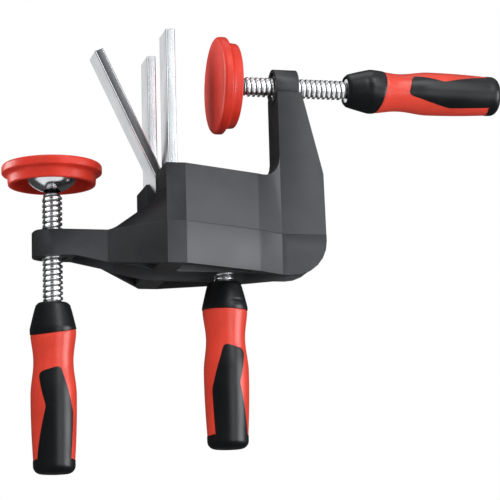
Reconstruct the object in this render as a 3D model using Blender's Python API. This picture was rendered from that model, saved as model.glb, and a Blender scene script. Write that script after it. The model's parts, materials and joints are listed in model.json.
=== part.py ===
"""Door frame clamp: moulded body, two swivel-pad screws, two fixed jaw bars and one spreading lever.

Metres, +Z up. The origin is where the right screw's axis meets the plane of the fixed jaw faces.
+X runs from the jaws to the right screw's handle, and the clamp is symmetric about the plane Y = 0.
"""
import math

import bmesh
import bpy
from mathutils import Matrix, Vector

MM = 0.001
GAP = 0.3 * MM                      # clearance between pieces that touch on the real clamp

# Body frame, side view
BODY_TOP = -66.0 * MM
BODY_BOTTOM = -131.0 * MM
ARM_TOP = -103.3 * MM               # top of the left arm
ARM_DEPTH = 17.0 * MM               # height of the left boss
RAMP_ANGLE = math.radians(32.0)     # slope from the left arm up to the towers
RAMP_FILLET = 10.0 * MM
CORNER_RADIUS = 23.0 * MM           # outer bottom corner under the right arm
CROOK_RADIUS = 15.0 * MM            # inner corner between body top and right arm
RIGHT_ARM_X = 76.0 * MM             # inner face of the right arm
RIGHT_ARM_TOP_WIDTH = 16.5 * MM
RIGHT_ARM_ROOT_WIDTH = 31.0 * MM
RIGHT_ARM_TAPER = 62.0 * MM         # height over which the right arm widens

# Body frame, plan view
BOSS_RADIUS = 13.5 * MM             # left boss, and half the width of both arms
BOSS_EDGE = 2.4 * MM                # rounding of the left boss's upper and lower edge
RIGHT_BOSS_RADIUS = 12.4 * MM
BOSS_PROUD = 0.5 * MM               # right boss beyond the inner face of its arm
ARM_SHOULDER = 6.0 * MM             # right arm's top below the axis of its boss
TOWER_HALF_WIDTH = 50.3 * MM
TOWER_BACK = 9.0 * MM               # tower face behind the jaw plane
TOWER_FLAT = 12.6 * MM              # width of the flat on each outer face
FLARE_X = -41.0 * MM                # where the left arm starts to widen
TAPER_X = 58.0 * MM
TAPER_HALF_WIDTH = 26.0 * MM
TAPER_ROUND = 16.0 * MM             # broad rounding of the upright edge at TAPER_X
STEP_DROP = 38.0 * MM               # parting step below the body top
STEP_PROUD = 0.4 * MM
DRAFT = 0.9 * MM                    # each side drawn in at the bottom, below the parting step
WALL = 3.2 * MM
CHANNEL_HALF_WIDTH = 15.5 * MM
ROOF_X = 20.0 * MM                  # right of this the channel has a roof
WEB_BACK = 12.8 * MM                # solid web round each fixed bar, behind the jaw plane
WEB_FRONT = 2.6 * MM                # and in front of it
POCKET_END_X = 52.0 * MM

# Screws, measured from the tip of the handle's nose
LEFT_SCREW_X = -75.0 * MM
LEFT_NOSE_Z = -150.0 * MM
MIDDLE_SCREW_X = 39.0 * MM
MIDDLE_NOSE_DROP = 3.6 * MM         # nose tip below the body at rest
RIGHT_NOSE_X = 127.0 * MM
SCREW_RADIUS = 6.6 * MM
TANG_RADIUS = 5.0 * MM
TANG_LENGTH = 62.0 * MM
SCREW_REACH = 91.5 * MM             # nose tip to pad face
NECK_RADIUS = 4.4 * MM
BALL_RADIUS = 5.6 * MM
NUT_RADIUS = 9.5 * MM
NUT_RECESS = 0.8 * MM
BRIDGE_TOP = -106.0 * MM            # cross bridge that holds the middle nut
BRIDGE_HEIGHT = 18.0 * MM
BRIDGE_HALF_LENGTH = 12.5 * MM

# Handle
HANDLE_LENGTH = 110.0 * MM
NOSE_LENGTH = 20.0 * MM
MOUTH_RADIUS = 10.4 * MM
MOUTH_DEPTH = 3.0 * MM
COLLAR_RADIUS = 8.3 * MM
COLLAR_THICKNESS = 2.0 * MM
FLARE_RADIUS = 14.9 * MM
WAIST_RADIUS = 12.9 * MM
BELLY_RADIUS = 14.85 * MM
HEEL_RADIUS = 13.4 * MM
FLARE_AT = 17.0 * MM
WAIST_AT = 38.0 * MM
BELLY_AT = 60.0 * MM
HEEL_LENGTH = 8.5 * MM              # solid end of the soft grip
HEEL_ROUND = 7.0 * MM
HEEL_DIMPLE = 2.4 * MM
GRIP_THICKNESS = 2.4 * MM
# Edges of one soft panel: distance from the nose tip, angle round the axis
PANEL_RIGHT = ((46.0 * MM, 44.0), (68.0 * MM, 20.0), (100.0 * MM, 52.0))
PANEL_LEFT = ((42.0 * MM, -20.0), (72.0 * MM, -55.0), (100.0 * MM, -52.0))
# How each handle happens to be turned on its screw, and which of its two mirrored panels faces the front
HANDLE_TURN = {"left": math.radians(-98), "middle": math.radians(-87.5), "right": math.radians(-89)}
HANDLE_MIRROR = {"left": -1, "middle": 1, "right": 1}

# Pads, measured from the pad face
PAD_RADIUS = 32.8 * MM
PAD_RIM = 6.6 * MM
PAD_DEPTH = 13.8 * MM
PAD_FLOOR = 3.4 * MM
RING_RADIUS = 28.6 * MM
RING_WALL = 2.4 * MM
FLANGE_RADIUS = 21.0 * MM
PLATE_THICKNESS = 1.5 * MM
DOME_RADIUS = 18.0 * MM
DOME_SPHERE = 21.0 * MM             # radius of the bowl below the dome's short upright wall
DOME_DEPTH = 17.4 * MM
DOME_CLEAR = 1.4 * MM               # thread ends this far below the dome, so that the pad can swing
SEAT_THICKNESS = 1.5 * MM
PAD_SWING = math.radians(10.0)

# Jaw bars
BAR_THICKNESS = 6.0 * MM
BAR_WIDTH = 23.0 * MM
BAR_CORNER = 1.15 * MM              # rounded long corners of the drawn strip
BAR_CENTRE_Y = TOWER_HALF_WIDTH - 18.3 * MM
FIXED_BAR_TOP = 25.0 * MM
FIXED_BAR_LENGTH = 149.0 * MM
BAR_PIN_RADIUS = 2.0 * MM
BAR_PIN_RISE = 12.0 * MM            # pin above the bar's foot
LEVER_BAR_ABOVE = 113.0 * MM
LEVER_BAR_BELOW = 23.0 * MM

# Lever
PIVOT_X = 11.0 * MM
PIVOT_DROP = 14.0 * MM              # pivot below the body top
PIVOT_RADIUS = 4.0 * MM
HUB_RADIUS = 8.0 * MM
LEVER_TILT = math.radians(25.0)
LEVER_SEAT = 5.5 * MM               # bar seat, left of the pivot
ARM_SLOPE = math.radians(-4.0)
TOE_RADIUS = 6.0 * MM
TOE_RELIEF = math.radians(30.0)     # the toe's curve runs this far up the underside of the arm
ARM_UNDERSIDE = 6.4 * MM            # underside of the arm below the pivot
LEVER_PLATE_TOP = 14.0 * MM
PIVOT_BOSS_LENGTH = 9.0 * MM
PIVOT_HEAD_RADIUS = 6.5 * MM
PIVOT_HEAD = 2.2 * MM
CLIP_THICKNESS = 1.2 * MM
LEVER_SCREW_RADIUS = 2.5 * MM
LEVER_SCREW_HEAD_RADIUS = 4.25 * MM
LEVER_SCREW_HEAD = 3.0 * MM
LEVER_SCREW_DEPTH = 7.0 * MM
LEVER_SCREW_DROPS = (9.0 * MM, 18.0 * MM)
CAP_RADIUS = 8.0 * MM
CAP_HEIGHT = 8.0 * MM
CAP_ROOF = 2.4 * MM

# Facets of the round pieces
TURN_STEPS = 26
PAD_STEPS = 32
SMALL_STEPS = 18

COLOURS = {
    "charcoal": ((0.075, 0.08, 0.087), 0.55, 0.0),
    "red": ((0.72, 0.06, 0.035), 0.38, 0.0),
    "black": ((0.018, 0.02, 0.022), 0.6, 0.0),
    "zinc": ((0.72, 0.74, 0.76), 0.28, 1.0),
    "steel": ((0.6, 0.61, 0.62), 0.3, 1.0),
    "nylon": ((0.8, 0.79, 0.74), 0.5, 0.0),
}


def clear_scene():
    for item in list(bpy.data.objects):
        bpy.data.objects.remove(item, do_unlink=True)


def material(name, colour):
    rgb, rough, metal = COLOURS[colour]
    mat = bpy.data.materials.new(name)
    mat.use_nodes = True
    shader = mat.node_tree.nodes["Principled BSDF"]
    shader.inputs["Base Color"].default_value = (*rgb, 1.0)
    shader.inputs["Roughness"].default_value = rough
    shader.inputs["Metallic"].default_value = metal
    return mat


def add_mesh(name, verts, faces, colour=None):
    """One object from vertices and faces; without a colour it is a cutter."""
    mesh = bpy.data.meshes.new(name)
    mesh.from_pydata([tuple(v) for v in verts], [], faces)
    work = bmesh.new()
    work.from_mesh(mesh)
    bmesh.ops.remove_doubles(work, verts=work.verts, dist=1e-6)
    bmesh.ops.recalc_face_normals(work, faces=work.faces)
    work.to_mesh(mesh)
    work.free()
    mesh.shade_smooth()
    mesh.set_sharp_from_angle(angle=math.radians(35))
    item = bpy.data.objects.new(name, mesh)
    bpy.context.scene.collection.objects.link(item)
    if colour:
        mesh.materials.append(material(name, colour))
    else:
        item.hide_render = True
        item.display_type = "WIRE"
    return item


def lofted(rings):
    """Vertices and faces of a closed body through rings of equal length, with flat end caps."""
    count = len(rings[0])
    verts = [point for ring in rings for point in ring]
    faces = [tuple(range(count))[::-1], tuple(range(len(verts) - count, len(verts)))]
    for level in range(len(rings) - 1):
        low, high = level * count, (level + 1) * count
        faces += [(low + i, low + (i + 1) % count, high + (i + 1) % count, high + i) for i in range(count)]
    return verts, faces


def prism(name, outline, axis, low, high, colour=None):
    """A flat outline pushed along an axis: its two coordinates are the other two axes, in order."""
    def place(point, depth):
        coords = list(point)
        coords.insert("XYZ".index(axis), depth)
        return Vector(coords)
    return add_mesh(name, *lofted([[place(p, d) for p in outline] for d in (low, high)]), colour)


def box(name, low, high, colour=None):
    corners = ((low[0], low[1]), (high[0], low[1]), (high[0], high[1]), (low[0], high[1]))
    return prism(name, corners, "Z", low[2], high[2], colour)


def rounded(outline, radii, steps=6):
    """The outline with the corners named in radii replaced by tangent arcs."""
    result = []
    for index, corner in enumerate(outline):
        here = Vector(corner)
        radius = radii.get(index, 0.0)
        if not radius:
            result.append(tuple(here))
            continue
        back = (Vector(outline[index - 1]) - here).normalized()
        ahead = (Vector(outline[(index + 1) % len(outline)]) - here).normalized()
        half = back.angle(ahead) / 2
        centre = here + (back + ahead).normalized() * (radius / math.sin(half))
        start = here + back * (radius / math.tan(half)) - centre
        end = here + ahead * (radius / math.tan(half)) - centre
        sweep = start.angle_signed(end)
        for step in range(steps + 1):
            turned_arm = Matrix.Rotation(-sweep * step / steps, 2) @ start
            result.append(tuple(centre + turned_arm))
    return result


def turned(name, profile, colour=None, steps=TURN_STEPS):
    """A body of revolution about Z through (radius, height) points; a zero radius is one point."""
    verts, rows = [], []
    for radius, height in profile:
        if radius < 1e-7:
            rows.append([len(verts)] * steps)
            verts.append(Vector((0, 0, height)))
            continue
        rows.append(list(range(len(verts), len(verts) + steps)))
        verts += [Vector((radius * math.cos(2 * math.pi * i / steps),
                          radius * math.sin(2 * math.pi * i / steps), height)) for i in range(steps)]
    closed = profile[0][0] > 1e-7 or profile[-1][0] > 1e-7
    pairs = list(zip(rows, rows[1:])) + ([(rows[-1], rows[0])] if closed else [])
    faces = []
    for low, high in pairs:
        for i in range(steps):
            corner = [low[i], low[(i + 1) % steps], high[(i + 1) % steps], high[i]]
            face = tuple(dict.fromkeys(corner))
            if len(face) > 2:
                faces.append(face)
    return add_mesh(name, verts, faces, colour)


def rod(name, radius, start, end, colour=None, steps=SMALL_STEPS):
    """A plain cylinder between two points."""
    axis = Vector(end) - Vector(start)
    item = turned(name, ((0, 0), (radius, 0), (radius, axis.length), (0, axis.length)), colour, steps)
    item.data.transform(Matrix.Translation(start) @ axis.to_track_quat("Z", "Y").to_matrix().to_4x4())
    return item


def combine(item, tool, operation="DIFFERENCE"):
    change = item.modifiers.new(tool.name, "BOOLEAN")
    change.operation = operation
    change.solver = "EXACT"
    change.object = tool
    tool.hide_render = True
    tool.display_type = "WIRE"


def carrier(name, location, rotation=(0, 0, 0)):
    """An empty on a joint's axis that carries the pieces of one moving body."""
    empty = bpy.data.objects.new(name, None)
    empty.location = location
    empty.rotation_euler = rotation
    bpy.context.scene.collection.objects.link(empty)
    return empty


def carry(empty, *items):
    for item in items:
        item.parent = empty


def sphere_arc(radius, start, end, steps):
    """Points (radius, height) of an arc round the origin, angles measured from the axis."""
    angles = [start + (end - start) * i / steps for i in range(steps + 1)]
    return [(radius * math.sin(a), radius * math.cos(a)) for a in angles]


# Body frame

def body_half_width(x):
    """Outer half width of the body at x, right of the left boss."""
    stations = ((FLARE_X, BOSS_RADIUS), (-TOWER_BACK, TOWER_HALF_WIDTH),
                (TOWER_FLAT - TOWER_BACK, TOWER_HALF_WIDTH), (TAPER_X, TAPER_HALF_WIDTH),
                (RIGHT_ARM_X, BOSS_RADIUS))
    if x <= stations[0][0] or x >= stations[-1][0]:
        return BOSS_RADIUS
    for (x0, y0), (x1, y1) in zip(stations, stations[1:]):
        if x <= x1:
            return y0 + (y1 - y0) * (x - x0) / (x1 - x0)
    return BOSS_RADIUS


def plan_outline(extra):
    """The body seen from above: round left boss, flare, flat, taper and right arm."""
    right_end = RIGHT_ARM_X + RIGHT_ARM_ROOT_WIDTH + WALL
    side = [(FLARE_X, BOSS_RADIUS), (-TOWER_BACK, TOWER_HALF_WIDTH),
            (TOWER_FLAT - TOWER_BACK, TOWER_HALF_WIDTH), (TAPER_X, TAPER_HALF_WIDTH),
            (RIGHT_ARM_X, BOSS_RADIUS), (right_end, BOSS_RADIUS)]
    closing = [(right_end, 0.0), (FLARE_X, 0.0)]
    side = [(x, y + extra) for x, y in rounded(side + closing, {3: TAPER_ROUND}, 3)[:-2]]
    boss = [(LEFT_SCREW_X - BOSS_RADIUS * math.cos(a), BOSS_RADIUS * math.sin(a) * (1 + extra / BOSS_RADIUS))
            for a in [math.pi * (i / 12 - 0.5) for i in range(13)]]
    return boss + side + [(x, -y) for x, y in reversed(side)]


def side_outline():
    left = LEFT_SCREW_X - BOSS_RADIUS - STEP_PROUD
    arm_bottom = ARM_TOP - ARM_DEPTH
    ramp_top = ARM_TOP + (-TOWER_BACK - FLARE_X - WALL) * math.tan(RAMP_ANGLE)
    outer = RIGHT_ARM_X + RIGHT_ARM_ROOT_WIDTH
    points = [(left, ARM_TOP), (FLARE_X + WALL, ARM_TOP), (-TOWER_BACK, ramp_top), (-TOWER_BACK, BODY_TOP),
              (RIGHT_ARM_X, BODY_TOP), (RIGHT_ARM_X, -ARM_SHOULDER),
              (RIGHT_ARM_X + RIGHT_ARM_TOP_WIDTH, -ARM_SHOULDER),
              (outer - MM, -RIGHT_ARM_TAPER), (outer, BODY_BOTTOM), (-TOWER_BACK, BODY_BOTTOM),
              (LEFT_SCREW_X + BOSS_RADIUS, arm_bottom), (left, arm_bottom)]
    return rounded(points, {0: BOSS_EDGE, 1: RAMP_FILLET, 2: RAMP_FILLET, 4: CROOK_RADIUS, 8: CORNER_RADIUS,
                            11: BOSS_EDGE})


def body_shell():
    """The outside: the side outline cut to the plan outline, with the parting step and the right boss."""
    high, low = BOSS_RADIUS, BODY_BOTTOM - WALL
    step = BODY_TOP - STEP_DROP
    rings = [[(x, y, z) for x, y in plan_outline(extra)]
             for extra, z in ((STEP_PROUD - DRAFT, low), (STEP_PROUD, step), (0.0, step + STEP_PROUD), (0.0, high))]
    body = add_mesh("body_frame", *lofted(rings), "charcoal")
    combine(body, prism("cut_side", side_outline(), "Y", -2 * TOWER_HALF_WIDTH, 2 * TOWER_HALF_WIDTH), "INTERSECT")
    crown = rod("add_right_boss", RIGHT_BOSS_RADIUS, (RIGHT_ARM_X - BOSS_PROUD, 0, 0),
                (RIGHT_ARM_X + RIGHT_ARM_TOP_WIDTH - MM, 0, 0), steps=TURN_STEPS)
    combine(body, crown, "UNION")
    return body


def channel_outline():
    """Half of the slot between the two cheeks, seen from above."""
    arm_half = BOSS_RADIUS - WALL
    start = LEFT_SCREW_X + BOSS_RADIUS
    return [(start, arm_half), (FLARE_X + WALL, arm_half), (FLARE_X + 3 * WALL, CHANNEL_HALF_WIDTH),
            (TAPER_X, CHANNEL_HALF_WIDTH), (RIGHT_ARM_X, arm_half),
            (RIGHT_ARM_X + RIGHT_ARM_ROOT_WIDTH - 3 * WALL, arm_half)]


def cut_channel(body):
    half = channel_outline()
    plan = half + [(x, -y) for x, y in reversed(half)]
    low = BODY_BOTTOM - 2 * WALL
    left, right = half[0][0] - WALL, half[-1][0] + WALL
    open_left = FLARE_X + WALL
    profile = [(left, low), (right, low), (right, BODY_TOP - WALL), (ROOF_X, BODY_TOP - WALL),
               (ROOF_X, BODY_TOP + WALL), (open_left, BODY_TOP + WALL), (open_left, ARM_TOP - WALL),
               (left, ARM_TOP - WALL)]
    deep = prism("cut_channel", plan, "Z", low - WALL, BODY_TOP + 2 * WALL)
    combine(deep, prism("cut_channel_side", profile, "Y", -TOWER_HALF_WIDTH, TOWER_HALF_WIDTH), "INTERSECT")
    combine(body, deep)


def cut_pockets(body):
    """Two weight-saving pockets under each cheek, either side of the web that holds the bar."""
    inner = CHANNEL_HALF_WIDTH + WALL
    flare_slope = (TOWER_HALF_WIDTH - BOSS_RADIUS) / (-TOWER_BACK - FLARE_X)
    flare_wall = WALL * math.hypot(1, flare_slope)
    taper_slope = (TOWER_HALF_WIDTH - TAPER_HALF_WIDTH) / (TAPER_X - TOWER_FLAT + TOWER_BACK)
    taper_wall = WALL * math.hypot(1, taper_slope)
    tip = FLARE_X + (inner + flare_wall - BOSS_RADIUS) / flare_slope
    rear = [(tip, inner), (-WEB_BACK, body_half_width(-WEB_BACK) - flare_wall), (-WEB_BACK, inner)]
    front = [(WEB_FRONT, inner), (WEB_FRONT, TOWER_HALF_WIDTH - WALL),
             (TOWER_FLAT - TOWER_BACK, TOWER_HALF_WIDTH - taper_wall),
             (POCKET_END_X, body_half_width(POCKET_END_X) - taper_wall), (POCKET_END_X, inner)]
    low = BODY_BOTTOM - WALL
    for side, sign in (("near", -1), ("far", 1)):
        for part, outline, top in (("rear", rear, ARM_TOP - WALL), ("front", front, BODY_TOP - WALL)):
            shape = [(x, sign * y) for x, y in outline]
            combine(body, prism(f"cut_{part}_pocket_{side}", shape, "Z", low, top))


def body_frame():
    body = body_shell()
    bore = NUT_RADIUS + GAP
    combine(body, rod("cut_left_nut", bore, (LEFT_SCREW_X, 0, ARM_TOP - ARM_DEPTH - WALL),
                      (LEFT_SCREW_X, 0, ARM_TOP + WALL), steps=TURN_STEPS))
    combine(body, rod("cut_right_nut", bore, (RIGHT_ARM_X - WALL, 0, 0),
                      (RIGHT_ARM_X + RIGHT_ARM_TOP_WIDTH + WALL, 0, 0), steps=TURN_STEPS))
    cut_channel(body)
    cut_pockets(body)
    # Cross bridge for the middle nut, and the two pivot bosses inside the front pockets
    combine(body, box("add_bridge",
                      (MIDDLE_SCREW_X - BRIDGE_HALF_LENGTH, -CHANNEL_HALF_WIDTH - MM, BRIDGE_TOP - BRIDGE_HEIGHT),
                      (MIDDLE_SCREW_X + BRIDGE_HALF_LENGTH, CHANNEL_HALF_WIDTH + MM, BRIDGE_TOP)), "UNION")
    combine(body, rod("cut_middle_nut", bore, (MIDDLE_SCREW_X, 0, BRIDGE_TOP - BRIDGE_HEIGHT - WALL),
                      (MIDDLE_SCREW_X, 0, BRIDGE_TOP + WALL), steps=TURN_STEPS))
    pivot_z = BODY_TOP - PIVOT_DROP
    boss_start, boss_end = CHANNEL_HALF_WIDTH + WALL / 2, CHANNEL_HALF_WIDTH + WALL + PIVOT_BOSS_LENGTH
    for side, sign in (("near", -1), ("far", 1)):
        combine(body, rod(f"add_pivot_boss_{side}", HUB_RADIUS, (PIVOT_X, sign * boss_start, pivot_z),
                          (PIVOT_X, sign * boss_end, pivot_z)), "UNION")
        foot = FIXED_BAR_TOP - FIXED_BAR_LENGTH
        centre = sign * BAR_CENTRE_Y
        half = BAR_WIDTH / 2 + GAP
        combine(body, box(f"cut_bar_socket_{side}", (-BAR_THICKNESS - GAP, centre - half, foot - GAP),
                          (GAP, centre + half, BODY_TOP + WALL)))
        pin_z = foot + BAR_PIN_RISE
        combine(body, rod(f"cut_bar_pin_{side}", BAR_PIN_RADIUS + GAP, (-WEB_BACK - WALL, centre, pin_z),
                          (WEB_FRONT + WALL, centre, pin_z)))
    combine(body, rod("cut_pivot", PIVOT_RADIUS + GAP, (PIVOT_X, -boss_end - WALL, pivot_z),
                      (PIVOT_X, boss_end + WALL, pivot_z)))


def nut(name, length):
    """A pressed-in steel nut: knurled bands, a waist between them, bored for the screw."""
    bore, chamfer = SCREW_RADIUS + GAP, 0.8 * MM
    waist = NUT_RADIUS - 1.2 * MM
    half = length / 2 - NUT_RECESS
    band = half * 0.45
    profile = [(bore, -half), (NUT_RADIUS, -half), (NUT_RADIUS, -band), (waist, chamfer - band),
               (waist, band - chamfer), (NUT_RADIUS, band), (NUT_RADIUS, half), (bore, half)]
    return turned(name, profile, "steel", SMALL_STEPS)


# Screws and handles, built upright with the nose tip at the origin and the pad above

def handle_radius(depth):
    """Outer radius at a distance behind the nose tip."""
    def ease(start, end, a, b):
        t = (depth - a) / (b - a)
        return start + (end - start) * (1 - math.cos(math.pi * t)) / 2
    heel = HANDLE_LENGTH - HEEL_LENGTH
    if depth <= FLARE_AT:
        return MOUTH_RADIUS + (FLARE_RADIUS - MOUTH_RADIUS) * (depth / FLARE_AT) ** 0.85
    if depth <= WAIST_AT:
        return ease(FLARE_RADIUS, WAIST_RADIUS, FLARE_AT, WAIST_AT)
    if depth <= BELLY_AT:
        return ease(WAIST_RADIUS, BELLY_RADIUS, WAIST_AT, BELLY_AT)
    return BELLY_RADIUS - (BELLY_RADIUS - HEEL_RADIUS) * min(1.0, (depth - BELLY_AT) / (heel - BELLY_AT)) ** 2


def handle_nose(name):
    """The soft nose cone with a shallow mouth for the steel collar."""
    recess, bore = COLLAR_RADIUS + GAP, TANG_RADIUS + GAP
    lip = 1.2 * MM
    outer = [(handle_radius(d), -d) for d in [lip + (NOSE_LENGTH - lip) * i / 6 for i in range(7)]]
    profile = [(bore, -MOUTH_DEPTH), (recess, -MOUTH_DEPTH), (recess, -0.4 * MM), (recess + 0.4 * MM, 0.0),
               (MOUTH_RADIUS - lip / 2, 0.0), (MOUTH_RADIUS, -lip / 3)]
    profile += outer + [(bore, -NOSE_LENGTH)]
    return turned(name, profile, "black")


def panel(name, side, mirror, margin, proud, colour=None):
    """One soft panel: a patch of the handle's skin between two edges that run along it.

    Its twisted skin is laid out in triangles, so that recess and panel bend alike.
    """
    def edge(points, depth):
        depth = min(max(depth, points[0][0]), points[-1][0])
        for (d0, a0), (d1, a1) in zip(points, points[1:]):
            if depth <= d1:
                return a0 + (a1 - a0) * (depth - d0) / (d1 - d0)
        return points[-1][1]
    first, last = PANEL_LEFT[0][0], HANDLE_LENGTH - HEEL_LENGTH + GRIP_THICKNESS
    along, across = 8, 3
    verts = []
    for lift in (proud, -GRIP_THICKNESS - margin):
        for i in range(along + 1):
            for j in range(across + 1):
                share = j / across
                slant = (PANEL_RIGHT[0][0] - PANEL_LEFT[0][0]) * share
                depth = first + slant - margin + (last - first - slant + margin) * i / along
                radius = handle_radius(min(depth, HANDLE_LENGTH - HEEL_LENGTH))
                left = math.radians(edge(PANEL_LEFT, depth)) - margin / radius
                right = math.radians(edge(PANEL_RIGHT, depth)) + margin / radius
                angle = side * math.pi + mirror * (1 - 2 * side) * (left + (right - left) * share)
                reach = radius + lift
                verts.append((reach * math.cos(angle), reach * math.sin(angle), -depth))
    row, layer = across + 1, (along + 1) * (across + 1)
    faces = []
    for i in range(along):
        for j in range(across):
            quad = (i * row + j, i * row + j + 1, (i + 1) * row + j + 1, (i + 1) * row + j)
            for half in (quad[:3], quad[2:] + quad[:1]):
                faces += [half, tuple(layer + v for v in reversed(half))]
    rim = [j for j in range(row)] + [i * row + across for i in range(1, along + 1)]
    rim += [along * row + j for j in range(across - 1, -1, -1)] + [i * row for i in range(along - 1, 0, -1)]
    faces += [(rim[k], rim[(k + 1) % len(rim)], layer + rim[(k + 1) % len(rim)], layer + rim[k])
              for k in range(len(rim))]
    return add_mesh(name, verts, faces, colour)


def handle_core(name, turn):
    """The hard core, recessed where the soft panels lie."""
    end = HANDLE_LENGTH - HEEL_LENGTH - GAP
    start = NOSE_LENGTH + GAP
    bore, depth = TANG_RADIUS + GAP, TANG_LENGTH + 2 * GAP
    outer = [(handle_radius(start + (end - start) * i / 10), -start - (end - start) * i / 10) for i in range(11)]
    profile = [(0, -depth), (bore, -depth), (bore, -start)] + outer + [(0, -end)]
    core = turned(name, profile, "red")
    for side in (0, 1):
        combine(core, panel(f"cut_{name}_{side}", side, HANDLE_MIRROR[turn], GAP, 2 * MM))
    return core


def handle_grip(name, turn):
    """The soft heel with its two panels, one moulding."""
    front = HANDLE_LENGTH - HEEL_LENGTH
    edge_r = handle_radius(front)
    arc = [(edge_r - HEEL_ROUND + HEEL_ROUND * math.cos(a), -HANDLE_LENGTH + HEEL_ROUND - HEEL_ROUND * math.sin(a))
           for a in [math.pi / 2 * i / 4 for i in range(5)]]
    profile = [(0, -front), (edge_r, -front)] + arc
    profile += [(HEEL_DIMPLE, -HANDLE_LENGTH), (HEEL_DIMPLE, MM - HANDLE_LENGTH), (0, MM - HANDLE_LENGTH)]
    grip = turned(name, profile, "black")
    for side in (0, 1):
        combine(grip, panel(f"add_{name}_{side}", side, HANDLE_MIRROR[turn], 0.0, 0.0), "UNION")
    return grip


def ball_centre():
    """Height of the ball above the nose tip."""
    return SCREW_REACH - PAD_FLOOR - 2 * GAP - SEAT_THICKNESS - BALL_RADIUS


def pad_screw(name):
    """Screw with a ball end: tang in the handle, shoulder on the collar, neck under the ball."""
    shoulder = -MOUTH_DEPTH + COLLAR_THICKNESS + 2 * GAP
    ball = ball_centre()
    neck_angle = math.pi - math.asin(NECK_RADIUS / BALL_RADIUS)
    arc = [(r, ball + z) for r, z in reversed(sphere_arc(BALL_RADIUS, 0.0, neck_angle, 6))]
    neck_start = SCREW_REACH - DOME_DEPTH - DOME_CLEAR
    profile = [(0, -TANG_LENGTH), (TANG_RADIUS, -TANG_LENGTH), (TANG_RADIUS, shoulder),
               (SCREW_RADIUS, shoulder), (SCREW_RADIUS, neck_start - MM), (NECK_RADIUS, neck_start)] + arc
    return turned(name, profile, "steel", SMALL_STEPS)


def thrust_height():
    """Top of the thrust cap above the middle nose tip, one gap under the lever's toe."""
    toe_z = BODY_TOP - PIVOT_DROP + (MIDDLE_SCREW_X - PIVOT_X) * math.tan(ARM_SLOPE)
    return toe_z - TOE_RADIUS - GAP - (BODY_BOTTOM - MIDDLE_NOSE_DROP)


def thrust_screw(name):
    """Short screw whose turned tip runs in the thrust cap."""
    shoulder = -MOUTH_DEPTH + COLLAR_THICKNESS + 2 * GAP
    top = thrust_height()
    tip = top - CAP_ROOF - GAP
    profile = [(0, -TANG_LENGTH), (TANG_RADIUS, -TANG_LENGTH), (TANG_RADIUS, shoulder),
               (SCREW_RADIUS, shoulder), (SCREW_RADIUS, top - CAP_HEIGHT - GAP),
               (NECK_RADIUS, top - CAP_HEIGHT - GAP), (NECK_RADIUS, tip), (0, tip)]
    return turned(name, profile, "steel", SMALL_STEPS)


def thrust_cap():
    """Hardened cap that slides up against the lever's toe without turning; origin at its top."""
    bore, chamfer = NECK_RADIUS + GAP, MM
    profile = [(0, -CAP_ROOF), (bore, -CAP_ROOF), (bore, -CAP_HEIGHT), (CAP_RADIUS, -CAP_HEIGHT),
               (CAP_RADIUS, -chamfer), (CAP_RADIUS - chamfer, 0), (0, 0)]
    return turned("thrust_cap", profile, "steel", SMALL_STEPS)


def collar(name):
    """Steel washer in the mouth of the nose, between the nose and the screw's shoulder."""
    low, bore = -MOUTH_DEPTH + GAP, TANG_RADIUS + GAP
    profile = [(bore, low), (COLLAR_RADIUS, low), (COLLAR_RADIUS, low + COLLAR_THICKNESS - 0.4 * MM),
               (COLLAR_RADIUS - 0.4 * MM, low + COLLAR_THICKNESS), (bore, low + COLLAR_THICKNESS)]
    return turned(name, profile, "zinc", SMALL_STEPS)


# Pads, built with the ball's centre at the origin and the pad face above

def pad_cap(name):
    """Round pressure cap: rolled rim, undercut, skirt ring and a flat face."""
    face = SCREW_REACH - ball_centre()
    edge = 1.4 * MM
    corner = [(PAD_RADIUS - edge + edge * math.sin(a), face - edge + edge * math.cos(a))
              for a in [math.pi / 2 * i / 3 for i in range(4)]]
    bottom, inner = face - PAD_DEPTH, RING_RADIUS - RING_WALL
    profile = [(0, face)] + corner
    profile += [(PAD_RADIUS, face - PAD_RIM + 0.6 * MM), (PAD_RADIUS - 0.6 * MM, face - PAD_RIM),
                (RING_RADIUS + 1.6 * MM, face - PAD_RIM - 0.6 * MM), (RING_RADIUS + 0.4 * MM, face - PAD_RIM - 2 * MM),
                (RING_RADIUS, bottom + 0.8 * MM), (RING_RADIUS - 0.8 * MM, bottom), (inner, bottom),
                (inner, face - PAD_FLOOR), (0, face - PAD_FLOOR)]
    return turned(name, profile, "red", PAD_STEPS)


def swivel_plate(name):
    """Pressed steel plate: a flange under the cap's floor and a dome that closes round the neck."""
    face = SCREW_REACH - ball_centre()
    top = face - PAD_FLOOR - GAP
    low = face - DOME_DEPTH
    hole = NECK_RADIUS + GAP + (-low) * math.tan(PAD_SWING)
    inner_radius = DOME_RADIUS - PLATE_THICKNESS

    def bowl(sphere, radius, bottom, steps=7):
        """Arc of the bowl from its widest radius down to the hole, its lowest point at the bottom."""
        drop = math.sqrt(sphere ** 2 - hole ** 2)
        radii = [radius + (hole - radius) * math.sin(math.pi / 2 * i / steps) for i in range(steps + 1)]
        return [(r, bottom + drop - math.sqrt(sphere ** 2 - r ** 2)) for r in radii]

    outer = [(FLANGE_RADIUS, top), (FLANGE_RADIUS, top - PLATE_THICKNESS), (DOME_RADIUS, top - PLATE_THICKNESS)]
    inner_arc = bowl(DOME_SPHERE - PLATE_THICKNESS, inner_radius, low + PLATE_THICKNESS)[::-1]
    profile = outer + bowl(DOME_SPHERE, DOME_RADIUS, low) + inner_arc + [(inner_radius, top)]
    return turned(name, profile, "zinc", TURN_STEPS)


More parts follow.
